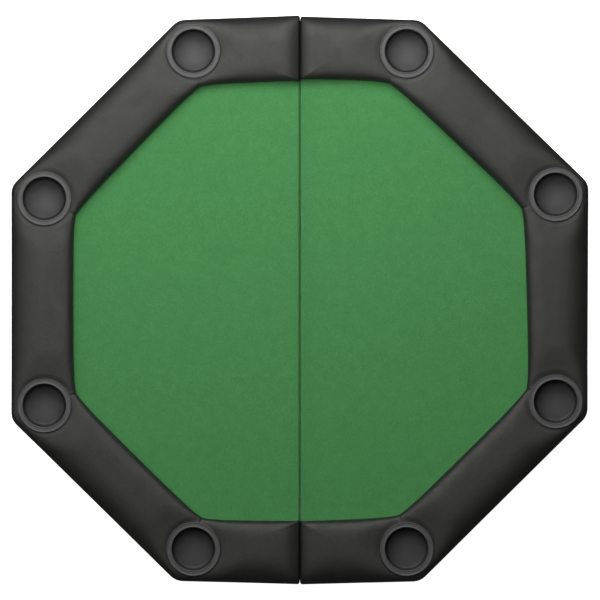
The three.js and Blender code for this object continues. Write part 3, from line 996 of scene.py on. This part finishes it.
def cup_profile():
    """The cup holder's section, from the middle of its underside round to the floor's middle."""
    bottom = CUP_BOX[0][2]
    rim_under = RAIL_TOP + CUP["above_rail"]
    floor = bottom + CUP["floor"]
    outside = [
        (0, bottom, 0),
        (CUP["floor_radius"] + CUP["wall"] - CUP["foot"], bottom, CUP_ROUND["foot"]),
        (CUP["mouth_radius"] + CUP["wall"], rim_under, CUP_ROUND["neck"]),
        (RIM_RADIUS, rim_under, CUP_ROUND["edge"]),
    ]
    rim = [(RIM_RADIUS - x * MM, RIM_TOP - z * MM, r * MM) for x, z, r in RIM_OUTER]
    rim += [(CUP["mouth_radius"] + x * MM, RIM_TOP - z * MM, r * MM) for x, z, r in RIM_INNER]
    inside = [(CUP["floor_radius"], floor, CUP_ROUND["floor"]), (0, floor, 0)]
    return rounded(outside + rim + inside)


def cup_holders(material):
    shape = lathe("cup_holder_moulding_1", cup_profile(), CUP_SIDES, material)
    for number in range(1, 9):
        cup = shape
        if number > 1:
            cup = bpy.data.objects.new(f"cup_holder_moulding_{number}", shape.data)
            bpy.context.scene.collection.objects.link(cup)
        cup.location = (*middle(f"cup_holder_{number}"), 0)
        cup.modifiers.new("flat faces", "WEIGHTED_NORMAL").keep_sharp = True
        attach(cup, f"cup_{number}")
        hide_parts(f"cup_holder_{number}")


# ---------------------------------------------------------------- screws

def screw(name, head, recess_z, material):
    """A screw that stands head down, with a cross recess in its head."""
    shank, tip = SCREW["shank"], SCREW["tip"]
    profile = head + [(shank, tip - SCREW["taper"]), (0, tip)]
    made = lathe(name, profile, SCREW_SIDES, material)
    for turn in (0, 1):
        arm, half = SCREW["recess"]["arm"], SCREW["recess"]["width"] / 2
        size = (arm, half) if turn == 0 else (half, arm)
        corners = [(x * size[0], y * size[1], z) for z in (0, recess_z) for x, y in SQUARE]
        block = new_object("cutter", corners, [
            (3, 2, 1, 0), (4, 5, 6, 7), (0, 1, 5, 4), (1, 2, 6, 5), (2, 3, 7, 6), (3, 0, 4, 7)],
            material)
        subtract(made, block)
    return made


def screws(material):
    """Countersunk screws in the hinges, and round-headed ones in the feet."""
    shapes = {}
    for kind, (head, recess) in SCREW_HEADS.items():
        first = screw(f"{kind}_screw_shape", [(r * MM, z * MM) for r, z in head],
                      recess * MM, material)
        shapes[kind] = first.data
        bpy.data.objects.remove(first)
    for name in sorted(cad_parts):
        if "_screw_" not in name:
            continue
        kind = "hinge" if name.startswith("hinge") else "foot"
        x, y = middle(name)
        made = bpy.data.objects.new(f"{name}_steel", shapes[kind])
        made.location = (x, y, 0)
        made.rotation_euler.z = SCREW["turn"][0] * x + SCREW["turn"][1] * y
        bpy.context.scene.collection.objects.link(made)
        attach(made, "left_half" if x < 0 else "right_half")
        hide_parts(name)


# ---------------------------------------------------------------- CAD nodes that stay

def dress_cad_nodes(steel):
    """The board, plywood, hinges and feet keep their CAD shapes."""
    looks = {"board": fibreboard(), "rail_base": plywood(), "hinge": steel, "foot_": rubber()}
    for name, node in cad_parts.items():
        for key, material in looks.items():
            if key in name and "screw" not in name:
                node.data.materials.clear()
                node.data.materials.append(material)


# ---------------------------------------------------------------- studio

def camera():
    data = bpy.data.cameras.new("camera")
    data.sensor_width = SENSOR
    data.lens = SENSOR * CAMERA_HEIGHT / VIEW_WIDTH
    data.clip_end = FAR
    made = bpy.data.objects.new("camera", data)
    made.location = (0, 0, CAMERA_HEIGHT + VIEW_Z)
    bpy.context.scene.collection.objects.link(made)
    bpy.context.scene.camera = made


def area_light(name, place, aim, size, power):
    data = bpy.data.lights.new(name, "AREA")
    data.shape = "RECTANGLE"
    data.size, data.size_y = size
    data.energy = power
    made = bpy.data.objects.new(name, data)
    made.location = place
    made.rotation_euler = (Vector(aim) - Vector(place)).to_track_quat("-Z", "Y").to_euler()
    made.visible_camera = False
    bpy.context.scene.collection.objects.link(made)


def studio_floor():
    """A large white sweep that glows a little, so that it stays white all round the object."""
    made, tree, shader, place = start_material("white_floor", (0.8, 0.8, 0.8), 0.6,
                                               Emission_Strength=1.0)
    shader.inputs["Emission Color"].default_value = (1, 1, 1, 1)
    rough = spread(tree, lumps(tree, place, 3), 0.55, 0.65)
    tree.links.new(rough, shader.inputs["Roughness"])
    corners = [(x * FLOOR_REACH, y * FLOOR_REACH, 0) for x, y in SQUARE]
    floor = new_object("floor", corners, [(0, 1, 2, 3)], made)
    floor.visible_glossy = False


def studio_world():
    """White behind everything, and no light from it on the object."""
    world = bpy.data.worlds.new("studio")
    bpy.context.scene.world = world
    world.use_nodes = True
    tree = world.node_tree
    rays = tree.nodes.new("ShaderNodeLightPath").outputs["Is Camera Ray"]
    background = tree.nodes["Background"]
    background.inputs["Color"].default_value = (1, 1, 1, 1)
    tree.links.new(rays, background.inputs["Strength"])


def studio():
    bpy.context.scene.view_settings.view_transform = "Standard"
    studio_floor()
    studio_world()
    for light in LIGHTS:
        area_light(*light)


camera()
leather = leatherette()
cloth = felt_cloth()
padding = foam()
steel = zinc_steel()
for half_name in ("left", "right"):
    rail_cover(half_name, leather)
    rail_foam(half_name, padding)
    staples(half_name, steel)
    felt_sheet(half_name, cloth)
cup_holders(moulded_plastic())
screws(steel)
dress_cad_nodes(steel)
studio()
